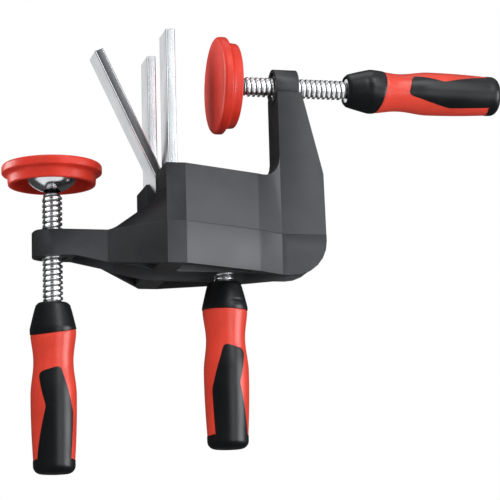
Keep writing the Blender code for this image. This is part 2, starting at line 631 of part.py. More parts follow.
def ball_seat(name):
    """Nylon cup round the upper half of the ball."""
    inner = BALL_RADIUS + GAP
    outer = inner + SEAT_THICKNESS
    profile = sphere_arc(outer, 0.0, math.radians(104), 5) + sphere_arc(inner, math.radians(104), 0.0, 5)
    return turned(name, profile, "nylon", SMALL_STEPS)


def screw_group(side, location, rotation):
    """Screw, handle and collar on one carrier; the pad parts have their own at the ball."""
    empty = carrier(f"{side}_screw_axis", location, rotation)
    screw = thrust_screw(f"{side}_spindle") if side == "middle" else pad_screw(f"{side}_spindle")
    nose, core = handle_nose(f"{side}_handle_nose"), handle_core(f"{side}_handle_core", side)
    grip = handle_grip(f"{side}_handle_grip", side)
    for item in (nose, core, grip):
        item.rotation_euler = (0, 0, HANDLE_TURN[side])
    for item in list(bpy.data.objects):
        if item.name.startswith((f"cut_{side}_handle", f"add_{side}_handle")):
            item.rotation_euler = (0, 0, HANDLE_TURN[side])
            item.parent = empty
    carry(empty, screw, nose, core, grip, collar(f"{side}_spindle_collar"))
    if side != "middle":
        ball = carrier(f"{side}_ball", (0, 0, ball_centre()))
        ball.parent = empty
        carry(ball, pad_cap(f"{side}_pad_cap"), swivel_plate(f"{side}_swivel_plate"), ball_seat(f"{side}_ball_seat"))


# Jaws and lever

def strip(name, low, high, colour):
    """Flat bar on end with rounded long corners, between two corners of its box."""
    outline = [(low[0], low[1]), (high[0], low[1]), (high[0], high[1]), (low[0], high[1])]
    return prism(name, rounded(outline, dict.fromkeys(range(4), BAR_CORNER), 3), "Z", low[2], high[2], colour)


def fixed_bars():
    """Two flat bars that stand in the cheeks, each held by a cross pin."""
    foot = FIXED_BAR_TOP - FIXED_BAR_LENGTH
    pin_z = foot + BAR_PIN_RISE
    for side, sign in (("near", -1), ("far", 1)):
        centre = sign * BAR_CENTRE_Y
        bar = strip(f"fixed_bar_{side}", (-BAR_THICKNESS, centre - BAR_WIDTH / 2, foot),
                    (0.0, centre + BAR_WIDTH / 2, FIXED_BAR_TOP), "zinc")
        combine(bar, rod(f"cut_fixed_bar_{side}", BAR_PIN_RADIUS + GAP, (-BAR_THICKNESS - WALL, centre, pin_z),
                         (WALL, centre, pin_z)))
        rod(f"bar_pin_{side}", BAR_PIN_RADIUS, (-WEB_BACK + GAP, centre, pin_z), (WEB_FRONT - GAP, centre, pin_z),
            "steel", 14)


def lever():
    """Bell crank: upright jaw bar screwed to the seat of a steel lever, toe over the middle screw.

    It is drawn with the bar upright and the pivot at the origin, and stands tilted at rest.
    """
    pivot = (PIVOT_X, 0, BODY_TOP - PIVOT_DROP)
    empty = carrier("lever_axis", pivot, (0, -LEVER_TILT, 0))
    reach = (MIDDLE_SCREW_X - PIVOT_X) / math.cos(ARM_SLOPE)
    slope = ARM_SLOPE - LEVER_TILT
    toe = Vector((reach * math.cos(slope), reach * math.sin(slope)))
    quarter = slope + math.pi / 2
    sweep = math.pi + TOE_RELIEF
    arc = [toe + TOE_RADIUS * Vector((math.cos(quarter - sweep * i / 9), math.sin(quarter - sweep * i / 9)))
           for i in range(10)]
    upright = Vector((math.cos(quarter), math.sin(quarter)))
    plate = -LEVER_SEAT + 4.5 * MM
    outline = [(-LEVER_SEAT, LEVER_PLATE_TOP), (plate, LEVER_PLATE_TOP), tuple(upright * HUB_RADIUS)]
    outline += [tuple(p) for p in arc] + [tuple(upright * -ARM_UNDERSIDE)]
    outline += [(plate, GAP - LEVER_BAR_BELOW), (-LEVER_SEAT, GAP - LEVER_BAR_BELOW)]
    crank = prism("lever_crank", outline, "Y", -BAR_WIDTH / 2, BAR_WIDTH / 2, "steel")
    seat = -LEVER_SEAT - GAP
    bar = strip("lever_bar", (seat - BAR_THICKNESS, -BAR_WIDTH / 2, -LEVER_BAR_BELOW),
                (seat, BAR_WIDTH / 2, LEVER_BAR_ABOVE), "zinc")
    tools = [rod("cut_crank_pivot", PIVOT_RADIUS + GAP, (0, -BAR_WIDTH, 0), (0, BAR_WIDTH, 0))]
    combine(crank, tools[0])
    screws = []
    head_face = seat - BAR_THICKNESS - GAP
    for index, drop in enumerate(LEVER_SCREW_DROPS):
        hole = rod(f"cut_lever_screw_{index}", LEVER_SCREW_RADIUS + GAP, (head_face - WALL, 0, -drop),
                   (LEVER_SCREW_DEPTH - LEVER_SEAT + GAP, 0, -drop))
        tools.append(hole)
        combine(crank, hole)
        combine(bar, hole)
        profile = [(0, 0), (LEVER_SCREW_HEAD_RADIUS - MM, 0), (LEVER_SCREW_HEAD_RADIUS, MM),
                   (LEVER_SCREW_HEAD_RADIUS, LEVER_SCREW_HEAD), (LEVER_SCREW_RADIUS, LEVER_SCREW_HEAD),
                   (LEVER_SCREW_RADIUS, LEVER_SCREW_HEAD + GAP + BAR_THICKNESS + GAP + LEVER_SCREW_DEPTH),
                   (0, LEVER_SCREW_HEAD + GAP + BAR_THICKNESS + GAP + LEVER_SCREW_DEPTH)]
        screw = turned(f"lever_screw_{index + 1}", profile, "zinc", 14)
        screw.data.transform(Matrix.Translation((head_face - LEVER_SCREW_HEAD, 0, -drop))
                             @ Matrix.Rotation(math.pi / 2, 4, "Y"))
        screws.append(screw)
    carry(empty, crank, bar, *screws, *tools)


def lever_pivot():
    """Headed pin through both bosses, a retaining clip behind, and a spacer each side of the lever."""
    pivot_z = BODY_TOP - PIVOT_DROP
    end = CHANNEL_HALF_WIDTH + WALL + PIVOT_BOSS_LENGTH + GAP
    groove = PIVOT_RADIUS - 0.8 * MM
    profile = [(0, -end - PIVOT_HEAD), (PIVOT_HEAD_RADIUS, -end - PIVOT_HEAD), (PIVOT_HEAD_RADIUS, -end),
               (PIVOT_RADIUS, -end), (PIVOT_RADIUS, end), (groove, end), (groove, end + CLIP_THICKNESS + GAP),
               (PIVOT_RADIUS, end + CLIP_THICKNESS + GAP), (PIVOT_RADIUS, end + CLIP_THICKNESS + 2 * MM),
               (0, end + CLIP_THICKNESS + 2 * MM)]
    pin = turned("lever_pivot_pin", profile, "steel", SMALL_STEPS)
    clip_bore, clip_outer = groove + GAP / 2, PIVOT_HEAD_RADIUS
    clip = turned("pivot_clip", [(clip_bore, end + GAP / 2), (clip_outer, end + GAP / 2),
                                 (clip_outer, end + GAP / 2 + CLIP_THICKNESS),
                                 (clip_bore, end + GAP / 2 + CLIP_THICKNESS)], "steel", SMALL_STEPS)
    inner, outer = BAR_WIDTH / 2 + GAP, CHANNEL_HALF_WIDTH - GAP
    bore = PIVOT_RADIUS + GAP
    spacers = [turned(f"pivot_spacer_{side}", [(bore, low), (HUB_RADIUS, low), (HUB_RADIUS, high), (bore, high)],
                      "nylon", SMALL_STEPS)
               for side, low, high in (("near", -outer, -inner), ("far", inner, outer))]
    for item in (pin, clip, *spacers):
        item.location = (PIVOT_X, 0, pivot_z)
        item.rotation_euler = (-math.pi / 2, 0, 0)


def build():
    clear_scene()
    body_frame()
    left_nut = nut("left_nut", ARM_DEPTH)
    left_nut.location = (LEFT_SCREW_X, 0, ARM_TOP - ARM_DEPTH / 2)
    middle_nut = nut("middle_nut", BRIDGE_HEIGHT)
    middle_nut.location = (MIDDLE_SCREW_X, 0, BRIDGE_TOP - BRIDGE_HEIGHT / 2)
    right_nut = nut("right_nut", RIGHT_ARM_TOP_WIDTH)
    right_nut.location = (RIGHT_ARM_X + RIGHT_ARM_TOP_WIDTH / 2, 0, 0)
    right_nut.rotation_euler = (0, math.pi / 2, 0)
    screw_group("left", (LEFT_SCREW_X, 0, LEFT_NOSE_Z), (0, 0, 0))
    screw_group("middle", (MIDDLE_SCREW_X, 0, BODY_BOTTOM - MIDDLE_NOSE_DROP), (0, 0, 0))
    screw_group("right", (RIGHT_NOSE_X, 0, 0), (0, -math.pi / 2, 0))
    cap = thrust_cap()
    cap.location = (MIDDLE_SCREW_X, 0, BODY_BOTTOM - MIDDLE_NOSE_DROP + thrust_height())
    fixed_bars()
    lever()
    lever_pivot()


build()
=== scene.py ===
"""Looks for the door frame clamp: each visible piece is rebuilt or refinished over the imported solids.

Metres, in the solids' own frame: the origin is on the right screw's axis in the plane of the fixed jaws,
+X runs toward the right handle, +Z up the jaw bars, and -Y faces the photograph's camera.
"""

import json
import math

import bmesh
import bpy
from mathutils import Matrix, Vector

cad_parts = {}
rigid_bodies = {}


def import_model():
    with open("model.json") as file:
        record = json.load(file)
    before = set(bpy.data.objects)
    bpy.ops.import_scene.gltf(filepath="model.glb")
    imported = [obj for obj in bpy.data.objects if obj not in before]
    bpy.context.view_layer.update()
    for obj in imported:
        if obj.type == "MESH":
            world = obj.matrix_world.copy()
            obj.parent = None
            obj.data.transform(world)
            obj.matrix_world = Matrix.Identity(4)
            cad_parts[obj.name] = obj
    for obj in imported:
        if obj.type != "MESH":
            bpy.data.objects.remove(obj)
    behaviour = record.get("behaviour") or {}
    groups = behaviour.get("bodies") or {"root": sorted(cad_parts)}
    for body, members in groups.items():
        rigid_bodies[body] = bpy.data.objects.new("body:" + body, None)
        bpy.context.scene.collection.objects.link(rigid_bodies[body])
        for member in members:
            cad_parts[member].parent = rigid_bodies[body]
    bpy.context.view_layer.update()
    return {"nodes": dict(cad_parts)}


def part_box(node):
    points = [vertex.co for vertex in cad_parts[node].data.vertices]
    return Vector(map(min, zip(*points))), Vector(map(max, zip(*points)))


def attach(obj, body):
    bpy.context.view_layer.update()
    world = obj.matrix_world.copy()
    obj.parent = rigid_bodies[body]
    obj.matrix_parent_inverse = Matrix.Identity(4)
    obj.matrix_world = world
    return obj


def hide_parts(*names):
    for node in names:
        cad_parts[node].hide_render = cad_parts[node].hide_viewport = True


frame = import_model()

# Body frame
# One deep moulding in glass-filled black nylon: two cheeks joined by the arms, open underneath.
# The mould leaves every outer edge slightly rounded, and a fine spark-eroded grain on all faces.
MM = 0.001


def value_group(name, inputs, outputs):
    """An empty shader group with float or colour sockets, and its input and output nodes."""
    tree = bpy.data.node_groups.new(name, "ShaderNodeTree")
    for direction, sockets in (("INPUT", inputs), ("OUTPUT", outputs)):
        for label, kind, default in sockets:
            socket = tree.interface.new_socket(label, in_out=direction, socket_type=f"NodeSocket{kind}")
            if default is not None:
                socket.default_value = default
    return tree, tree.nodes.new("NodeGroupInput"), tree.nodes.new("NodeGroupOutput")


def add_node(tree, kind, settings=None, **inputs):
    """A node with its properties set, and its inputs set or linked by name or number."""
    node = tree.nodes.new(f"ShaderNode{kind}")
    for key, value in (settings or {}).items():
        setattr(node, key, value)
    for key, value in inputs.items():
        numbered = key[0] == "_" and key[1:].isdigit()
        socket = node.inputs[int(key[1:]) if numbered else key.replace("_", " ")]
        if isinstance(value, bpy.types.NodeSocket):
            tree.links.new(value, socket)
        else:
            socket.default_value = value
    return node


def moulded_grain_group():
    """Fine mould grain with broad, faint changes of tone, in the piece's own space."""
    tree, given, result = value_group(
        "moulded_grain",
        (("Color", "Color", (0.1, 0.1, 0.1, 1)), ("Rub", "Color", (0.2, 0.2, 0.2, 1)), ("Grain", "Float", 1500.0),
         ("Roughness", "Float", 0.5), ("Wear", "Float", 0.3)),
        (("Color", "Color", None), ("Roughness", "Float", None), ("Height", "Float", None)))
    place = add_node(tree, "TexCoord").outputs["Object"]
    grain = add_node(tree, "TexNoise", Vector=place, Scale=given.outputs["Grain"], Detail=3.0, Roughness=0.6)
    cloud = add_node(tree, "TexNoise", Vector=place, Scale=32.0, Detail=4.0, Roughness=0.55)
    edge = add_node(tree, "NewGeometry").outputs["Pointiness"]
    ridge = add_node(tree, "MapRange", _0=edge, _1=0.53, _2=0.62, _3=0.0, _4=1.0)
    worn = add_node(tree, "Math", {"operation": "MULTIPLY"}, _0=ridge.outputs[0], _1=cloud.outputs[0])
    share = add_node(tree, "Math", {"operation": "MULTIPLY"}, _0=worn.outputs[0], _1=given.outputs["Wear"])
    tone = add_node(tree, "MapRange", _0=cloud.outputs[0], _1=0.3, _2=0.7, _3=0.86, _4=1.12)
    speck = add_node(tree, "MapRange", _0=grain.outputs[0], _1=0.3, _2=0.7, _3=0.85, _4=1.15)
    both = add_node(tree, "Math", {"operation": "MULTIPLY"}, _0=tone.outputs[0], _1=speck.outputs[0])
    shade = add_node(tree, "Mix", {"data_type": "RGBA", "blend_type": "MULTIPLY"}, _0=1.0, _6=given.outputs["Color"],
                     _7=both.outputs[0])
    rubbed = add_node(tree, "Mix", {"data_type": "RGBA"}, _0=share.outputs[0], _6=shade.outputs[2],
                      _7=given.outputs["Rub"])
    gloss = add_node(tree, "MapRange", _0=cloud.outputs[0], _1=0.3, _2=0.7, _3=-0.05, _4=0.06)
    rough = add_node(tree, "Math", {"operation": "ADD"}, _0=gloss.outputs[0], _1=given.outputs["Roughness"])
    for source, label in ((rubbed.outputs[2], "Color"), (rough.outputs[0], "Roughness"), (grain.outputs[0], "Height")):
        tree.links.new(source, result.inputs[label])
    return tree


moulded_grain = moulded_grain_group()


def moulded(name, color, rub, rough, grain, depth, wear, specular=0.5):
    """A moulded plastic or rubber finish; rub is the colour of its worn edges, depth the height of its grain."""
    finish = bpy.data.materials.new(name)
    finish.use_nodes = True
    tree = finish.node_tree
    shader = tree.nodes["Principled BSDF"]
    shader.inputs["Specular IOR Level"].default_value = specular
    skin = add_node(tree, "Group", {"node_tree": moulded_grain}, Color=(*color, 1), Rub=(*rub, 1), Grain=grain,
                    Roughness=rough, Wear=wear)
    bump = add_node(tree, "Bump", Strength=1.0, Distance=depth, Height=skin.outputs["Height"])
    tree.links.new(skin.outputs["Color"], shader.inputs["Base Color"])
    tree.links.new(skin.outputs["Roughness"], shader.inputs["Roughness"])
    tree.links.new(bump.outputs[0], shader.inputs["Normal"])
    return finish


def soften_edges(node, name, finish, width, body, segments=3, angle=24.0):
    """A piece with the solid's own shape and rounded edges, which then stands for it."""
    shape = bmesh.new()
    shape.from_mesh(frame["nodes"][node].data)
    bmesh.ops.remove_doubles(shape, verts=shape.verts, dist=2e-6)
    bmesh.ops.dissolve_limit(shape, angle_limit=math.radians(0.6), verts=shape.verts, edges=shape.edges)
    mesh = bpy.data.meshes.new(name)
    shape.to_mesh(mesh)
    shape.free()
    mesh.shade_smooth()
    mesh.materials.clear()
    mesh.materials.append(finish)
    piece = bpy.data.objects.new(name, mesh)
    bpy.context.scene.collection.objects.link(piece)
    bevel = piece.modifiers.new("edges", "BEVEL")
    bevel.width = width
    bevel.segments = segments
    bevel.limit_method = "ANGLE"
    bevel.angle_limit = math.radians(angle)
    bevel.harden_normals = True
    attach(piece, body)
    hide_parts(node)
    return piece


nylon_body = moulded("glass_filled_nylon", (0.0155, 0.017, 0.0195), (0.13, 0.135, 0.14), rough=0.38, grain=2600.0,
                     depth=0.06 * MM, wear=0.3, specular=0.4)
soften_edges("body_frame", "moulded_body", nylon_body, 0.7 * MM, "frame")


# Screw nuts and bar pins
# Turned steel nuts pressed into the two bosses and the cross bridge, and plain pins through the bars' feet.
# They are machined bright, so each shows rings of tool marks round its axis.
def turned_metal_group():
    """Machining rings or rolled streaks round an axis, with painted shade darkening the low places."""
    tree, given, result = value_group(
        "metal_marks",
        (("Color", "Color", (0.6, 0.6, 0.6, 1)), ("Grime", "Color", (0.05, 0.045, 0.04, 1)), ("Streak", "Float", 900.0),
         ("Roughness", "Float", 0.25), ("Low", "Float", 0.0), ("High", "Float", 0.001), ("Along", "Float", 0.0)),
        (("Color", "Color", None), ("Roughness", "Float", None), ("Height", "Float", None)))
    place = add_node(tree, "TexCoord").outputs["Object"]
    split = add_node(tree, "SeparateXYZ", _0=place)
    flat = add_node(tree, "CombineXYZ", _0=split.outputs[0], _1=split.outputs[1])
    reach = add_node(tree, "VectorMath", {"operation": "LENGTH"}, _0=flat.outputs[0])
    # Along = 0 makes rings round Z, Along = 1 makes lines that run along Z
    squeeze = add_node(tree, "MapRange", _0=given.outputs["Along"], _3=1.0, _4=0.02)
    across = add_node(tree, "MapRange", _0=given.outputs["Along"], _3=0.03, _4=1.0)
    tall = add_node(tree, "Math", {"operation": "MULTIPLY"}, _0=split.outputs[2], _1=squeeze.outputs[0])
    wide = add_node(tree, "VectorMath", {"operation": "SCALE"}, _0=flat.outputs[0], Scale=across.outputs[0])
    up = add_node(tree, "CombineXYZ", _2=tall.outputs[0])
    stretched = add_node(tree, "VectorMath", {"operation": "ADD"}, _0=wide.outputs[0], _1=up.outputs[0])
    marks = add_node(tree, "TexNoise", Vector=stretched.outputs[0], Scale=given.outputs["Streak"], Detail=2.0)
    cloud = add_node(tree, "TexNoise", Vector=place, Scale=60.0, Detail=3.0)
    # Painted shade: the colour goes to the dark one at the Low radius and below, fading out by High, and the surface is
    # rougher there
    low = add_node(tree, "MapRange", _0=reach.outputs["Value"], _1=given.outputs["Low"], _2=given.outputs["High"],
                   _3=1.0, _4=0.0)
    root_shading = add_node(tree, "Math", {"operation": "POWER"}, _0=low.outputs[0], _1=1.6)
    root_shaded = add_node(tree, "Mix", {"data_type": "RGBA"}, _0=root_shading.outputs[0], _6=given.outputs["Color"],
                      _7=given.outputs["Grime"])
    tone = add_node(tree, "MapRange", _0=cloud.outputs[0], _1=0.3, _2=0.7, _3=0.88, _4=1.08)
    shade = add_node(tree, "Mix", {"data_type": "RGBA", "blend_type": "MULTIPLY"}, _0=1.0, _6=root_shaded.outputs[2],
                     _7=tone.outputs[0])
    polish = add_node(tree, "MapRange", _0=marks.outputs[0], _1=0.3, _2=0.7, _3=-0.06, _4=0.08)
    rough = add_node(tree, "Math", {"operation": "ADD"}, _0=polish.outputs[0], _1=given.outputs["Roughness"])
    rough_in_roots = add_node(tree, "Math", {"operation": "MULTIPLY_ADD"}, _0=root_shading.outputs[0], _1=0.25, _2=rough.outputs[0])
    for source, label in ((shade.outputs[2], "Color"), (rough_in_roots.outputs[0], "Roughness"), (marks.outputs[0], "Height")):
        tree.links.new(source, result.inputs[label])
    return tree


metal_marks = turned_metal_group()


def metal(name, color, rough, streak, depth, low=0.0, high=0.1 * MM, along=0.0, grime=(0.03, 0.028, 0.026)):
    """A bare or plated metal finish; low and high are the radii between which the painted shade of the low places fades
    out.
    """
    finish = bpy.data.materials.new(name)
    finish.use_nodes = True
    tree = finish.node_tree
    shader = tree.nodes["Principled BSDF"]
    shader.inputs["Metallic"].default_value = 1.0
    marks = add_node(tree, "Group", {"node_tree": metal_marks}, Color=(*color, 1), Grime=(*grime, 1), Streak=streak,
                     Roughness=rough, Low=low, High=high, Along=along)
    bump = add_node(tree, "Bump", Strength=1.0, Distance=depth, Height=marks.outputs["Height"])
    tree.links.new(marks.outputs["Color"], shader.inputs["Base Color"])
    tree.links.new(marks.outputs["Roughness"], shader.inputs["Roughness"])
    tree.links.new(bump.outputs[0], shader.inputs["Normal"])
    return finish


nut_steel = metal("turned_nut_steel", (0.2, 0.2, 0.2), rough=0.36, streak=700.0, depth=0.02 * MM)
pin_steel = metal("ground_pin_steel", (0.42, 0.42, 0.42), rough=0.28, streak=700.0, depth=0.02 * MM)
for node in ("left_nut", "middle_nut", "right_nut"):
    soften_edges(node, f"bright_{node}", nut_steel, 0.25 * MM, "frame", 2)
for node in ("bar_pin_near", "bar_pin_far"):
    soften_edges(node, f"bright_{node}", pin_steel, 0.3 * MM, "frame", 2)


# Jaw bars
# Flat bars sheared from cold-drawn strip and zinc plated: two stand in the cheeks, one is screwed to the lever.
# The corners are slightly rounded by drawing, and the faces keep faint lines along their length.
BAR_HALF = (3.0 * MM, 11.5 * MM)
BAR_CORNER = 1.15 * MM
END_BREAK = 0.35 * MM


def sheared_edge_group():
    """Torn grain on the two narrow faces of a strip, where it was sheared from the sheet, with painted shade in the
    same dark colour laid over them up to a least share.
    """
    tree, given, result = value_group(
        "sheared_edge", (("Color", "Color", (0.7, 0.7, 0.7, 1)), ("Torn", "Color", (0.2, 0.2, 0.2, 1)),
                         ("Cover", "Float", 0.0)),
        (("Color", "Color", None), ("Roughness", "Float", None), ("Height", "Float", None)))
    coords = add_node(tree, "TexCoord")
    facing = add_node(tree, "SeparateXYZ", _0=coords.outputs["Normal"])
    narrow = add_node(tree, "Math", {"operation": "ABSOLUTE"}, _0=facing.outputs[1])
    mask = add_node(tree, "MapRange", _0=narrow.outputs[0], _1=0.9, _2=0.99)
    pits = add_node(tree, "TexNoise", Vector=coords.outputs["Object"], Scale=1300.0, Detail=3.0, Roughness=0.7)
    # The dark colour's share is never below the given least share, so a high one lays painted shade over the whole
    # narrow face
    torn_and_shade = add_node(tree, "MapRange", _0=pits.outputs[0], _1=0.42, _2=0.62, _3=given.outputs["Cover"], _4=0.9)
    share = add_node(tree, "Math", {"operation": "MULTIPLY"}, _0=torn_and_shade.outputs[0], _1=mask.outputs[0])
    lines = add_node(tree, "Mapping", Vector=coords.outputs["Object"], Scale=(1.0, 1.0, 0.012))
    drawn = add_node(tree, "TexNoise", Vector=lines.outputs[0], Scale=900.0, Detail=2.0)
    cloud = add_node(tree, "TexNoise", Vector=coords.outputs["Object"], Scale=45.0, Detail=3.0)
    tone = add_node(tree, "MapRange", _0=cloud.outputs[0], _1=0.3, _2=0.7, _3=0.86, _4=1.06)
    plain = add_node(tree, "Mix", {"data_type": "RGBA", "blend_type": "MULTIPLY"}, _0=1.0, _6=given.outputs["Color"],
                     _7=tone.outputs[0])
    shade = add_node(tree, "Mix", {"data_type": "RGBA"}, _0=share.outputs[0], _6=plain.outputs[2],
                     _7=given.outputs["Torn"])
    gloss = add_node(tree, "MapRange", _0=drawn.outputs[0], _1=0.3, _2=0.7, _3=0.16, _4=0.3)
    rough = add_node(tree, "Math", {"operation": "MULTIPLY_ADD"}, _0=mask.outputs[0], _1=0.1, _2=gloss.outputs[0])
    rise = add_node(tree, "Math", {"operation": "MULTIPLY_ADD"}, _0=share.outputs[0], _1=-2.0, _2=drawn.outputs[0])
    for source, label in ((shade.outputs[2], "Color"), (rough.outputs[0], "Roughness"), (rise.outputs[0], "Height")):
        tree.links.new(source, result.inputs[label])
    return tree


def plated_strip(name, torn_and_shade, shade_cover):
    """Plated strip; the two arguments after the name are the dark colour on its narrow faces, which is sheared grain
    and painted shade, and that colour's least share there, which paints the shade.
    """
    finish = bpy.data.materials.new(name)
    finish.use_nodes = True
    tree = finish.node_tree
    shader = tree.nodes["Principled BSDF"]
    shader.inputs["Metallic"].default_value = 1.0
    marks = add_node(tree, "Group", {"node_tree": sheared_edge}, Color=(0.72, 0.74, 0.765, 1), Torn=(*torn_and_shade, 1),
                     Cover=shade_cover)
    bump = add_node(tree, "Bump", Strength=1.0, Distance=0.03 * MM, Height=marks.outputs["Height"])
    tree.links.new(marks.outputs["Color"], shader.inputs["Base Color"])
    tree.links.new(marks.outputs["Roughness"], shader.inputs["Roughness"])
    tree.links.new(bump.outputs[0], shader.inputs["Normal"])
    return finish


sheared_edge = sheared_edge_group()
bar_zinc = plated_strip("zinc_plated_strip", (0.3, 0.31, 0.32), 0.0)
# The lever bar's copy: its narrow faces take the dark colour almost completely, as painted shade
lever_bar_zinc = plated_strip("zinc_plated_lever_strip", (0.09, 0.092, 0.095), 0.95)


def drawn_bar(name, low, high, matrix, node, body, finish):
    """A strip with rounded long corners and a slightly dressed cut at each end, upright in its own space."""
    corners = ((1, 1, 0), (-1, 1, 90), (-1, -1, 180), (1, -1, 270))
    rings = []
    for inset, height in ((END_BREAK, low), (0.0, low + END_BREAK), (0.0, high - END_BREAK), (END_BREAK, high)):
        ring = []
        for sx, sy, first in corners:
            radius = BAR_CORNER - inset
            for step in range(6):
                a = math.radians(first + 18 * step)
                ring.append((sx * (BAR_HALF[0] - BAR_CORNER) + radius * math.cos(a),
                             sy * (BAR_HALF[1] - BAR_CORNER) + radius * math.sin(a), height))
        rings.append(ring)
    count = len(rings[0])
    faces = [tuple(range(count))[::-1], tuple(range(3 * count, 4 * count))]
    for level in range(3):
        faces += [(level * count + i, level * count + (i + 1) % count, (level + 1) * count + (i + 1) % count,
                   (level + 1) * count + i) for i in range(count)]
    mesh = bpy.data.meshes.new(name)
    mesh.from_pydata([v for ring in rings for v in ring], [], faces)
    mesh.shade_smooth()
    mesh.set_sharp_from_angle(angle=math.radians(30))
    mesh.materials.append(finish)
    bar = bpy.data.objects.new(name, mesh)
    bpy.context.scene.collection.objects.link(bar)
    bar.matrix_world = matrix
    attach(bar, body)
    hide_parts(node)


for node in ("fixed_bar_near", "fixed_bar_far"):
    low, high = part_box(node)
    drawn_bar(f"plated_{node}", low.z, high.z, Matrix.Translation(((low.x + high.x) / 2, (low.y + high.y) / 2, 0)),
              node, "frame", bar_zinc)
LEVER_PIVOT = Vector((11 * MM, 0, -80 * MM))
LEVER_TILT = math.radians(25.0)
# The lever's bar reaches this far below and above the pivot, and its middle lies this far left of it
LEVER_BAR_SPAN = (-23 * MM, 113 * MM)
LEVER_BAR_OFFSET = -8.8 * MM
lever_place = Matrix.Translation(LEVER_PIVOT) @ Matrix.Rotation(-LEVER_TILT, 4, "Y")
drawn_bar("plated_lever_bar", *LEVER_BAR_SPAN, lever_place @ Matrix.Translation((LEVER_BAR_OFFSET, 0, 0)),
          "lever_bar", "spreading_lever", lever_bar_zinc)

# Lever, pivot and thrust parts
# A forged steel bell crank turns on a headed pin with a spring clip, between two nylon spacers.
# Two cap screws hold its bar, and a hardened cap on the middle screw lifts its toe.
crank_steel = metal("forged_crank_steel", (0.3, 0.3, 0.31), rough=0.42, streak=300.0, depth=0.05 * MM)
spacer_nylon = moulded("natural_nylon", (0.62, 0.60, 0.53), (0.7, 0.68, 0.6), rough=0.45, grain=1800.0,
                       depth=0.02 * MM, wear=0.1)
soften_edges("lever_crank", "forged_crank", crank_steel, 0.5 * MM, "spreading_lever", 2)
soften_edges("lever_pivot_pin", "bright_pivot_pin", pin_steel, 0.35 * MM, "frame", 2)
soften_edges("pivot_clip", "bright_pivot_clip", pin_steel, 0.15 * MM, "frame", 2)
for node in ("pivot_spacer_near", "pivot_spacer_far"):
    soften_edges(node, f"nylon_{node}", spacer_nylon, 0.25 * MM, "frame", 2)


def turned(name, profile, finish, matrix, columns=64, closed=True):
    """A body turned about Z: profile is a list of (radius, height), or gives one for an angle."""
    verts, faces = [], []
    for k in range(columns):
        angle = 2 * math.pi * k / columns
        points = profile(angle) if callable(profile) else profile
        verts += [(r * math.cos(angle), r * math.sin(angle), z) for r, z in points]
        rows = len(points)
    for k in range(columns):
        here, there = k * rows, (k + 1) % columns * rows
        for i in range(rows if closed else rows - 1):
            faces.append((here + i, there + i, there + (i + 1) % rows, here + (i + 1) % rows))
    mesh = bpy.data.meshes.new(name)
    mesh.from_pydata(verts, [], faces)
    shape = bmesh.new()
    shape.from_mesh(mesh)
    bmesh.ops.remove_doubles(shape, verts=shape.verts, dist=1e-6)
    bmesh.ops.recalc_face_normals(shape, faces=shape.faces)
    shape.to_mesh(mesh)
    shape.free()
    mesh.shade_smooth()
    mesh.set_sharp_from_angle(angle=math.radians(40))
    mesh.materials.append(finish)
    piece = bpy.data.objects.new(name, mesh)
    bpy.context.scene.collection.objects.link(piece)
    piece.matrix_world = matrix
    return piece


def arc(radius, centre, start, end, steps=5):
    """Points of an arc in the (radius, height) plane, angles in degrees from the radius direction."""
    angles = [math.radians(start + (end - start) * i / steps) for i in range(steps + 1)]
    return [(centre[0] + radius * math.cos(a), centre[1] + radius * math.sin(a)) for a in angles]


def dress(piece, body, slot, *nodes):
    """Carries a finished piece on its body, in place of the plain solids."""
    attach(piece, body)
    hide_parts(*nodes)


screw_zinc = metal("plated_cap_screw", (0.6, 0.61, 0.63), rough=0.25, streak=900.0, depth=0.01 * MM)
CAP_SCREW_LENGTH = 16.6 * MM
CAP_SCREW_RADIUS = 2.5 * MM
CAP_SCREW_HEAD = (4.25 * MM, 3.0 * MM)
CAP_SCREW_SOCKET = (2.0 * MM, 1.4 * MM)
for index in (1, 2):
    low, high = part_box(f"lever_screw_{index}")
    axis = Vector((math.cos(LEVER_TILT), 0, math.sin(LEVER_TILT)))
    start = (low + high) / 2 - axis * CAP_SCREW_LENGTH / 2
    screw = [(0, CAP_SCREW_SOCKET[1]), CAP_SCREW_SOCKET, (CAP_SCREW_SOCKET[0], 0.1 * MM), (3.7 * MM, 0.0),
             (CAP_SCREW_HEAD[0], 0.55 * MM), CAP_SCREW_HEAD, (CAP_SCREW_RADIUS, CAP_SCREW_HEAD[1]),
             (CAP_SCREW_RADIUS, CAP_SCREW_LENGTH), (0, CAP_SCREW_LENGTH)]
    place = Matrix.Translation(start) @ axis.to_track_quat("Z", "Y").to_matrix().to_4x4()
    dress(turned(f"cap_screw_{index}", screw, screw_zinc, place, 32), "spreading_lever", "zinc_plate",
          f"lever_screw_{index}")

cap_steel = metal("hardened_cap_steel", (0.34, 0.34, 0.35), rough=0.3, streak=700.0, depth=0.02 * MM)
soften_edges("thrust_cap", "hardened_thrust_cap", cap_steel, 0.4 * MM, "middle_carriage", 2)

# Screws
# Cold-rolled spindles with a round trapezoidal thread, bright, with painted shade darkening the grooves.
# The two outer ones end in a ball, the middle one in a turned tip, and each tang is moulded into its handle.
PITCH = 3.5 * MM
CREST = 6.6 * MM
ROOT = 5.35 * MM
TANG = 5.0 * MM
TANG_END = -62 * MM
SHOULDER = -0.4 * MM
THREAD_END = 71.7 * MM
ROWS_PER_PITCH = 14
COLUMNS = 40
BALL_AT = 80.4 * MM
NECK = 4.4 * MM
BALL = 5.6 * MM
SCREW_PLACES = {
    "left": Matrix.Translation((-75 * MM, 0, -150 * MM)),
    "middle": Matrix.Translation((39 * MM, 0, -134.6 * MM)),
    "right": Matrix.Translation((127 * MM, 0, 0)) @ Matrix.Rotation(-math.pi / 2, 4, "Y"),
}
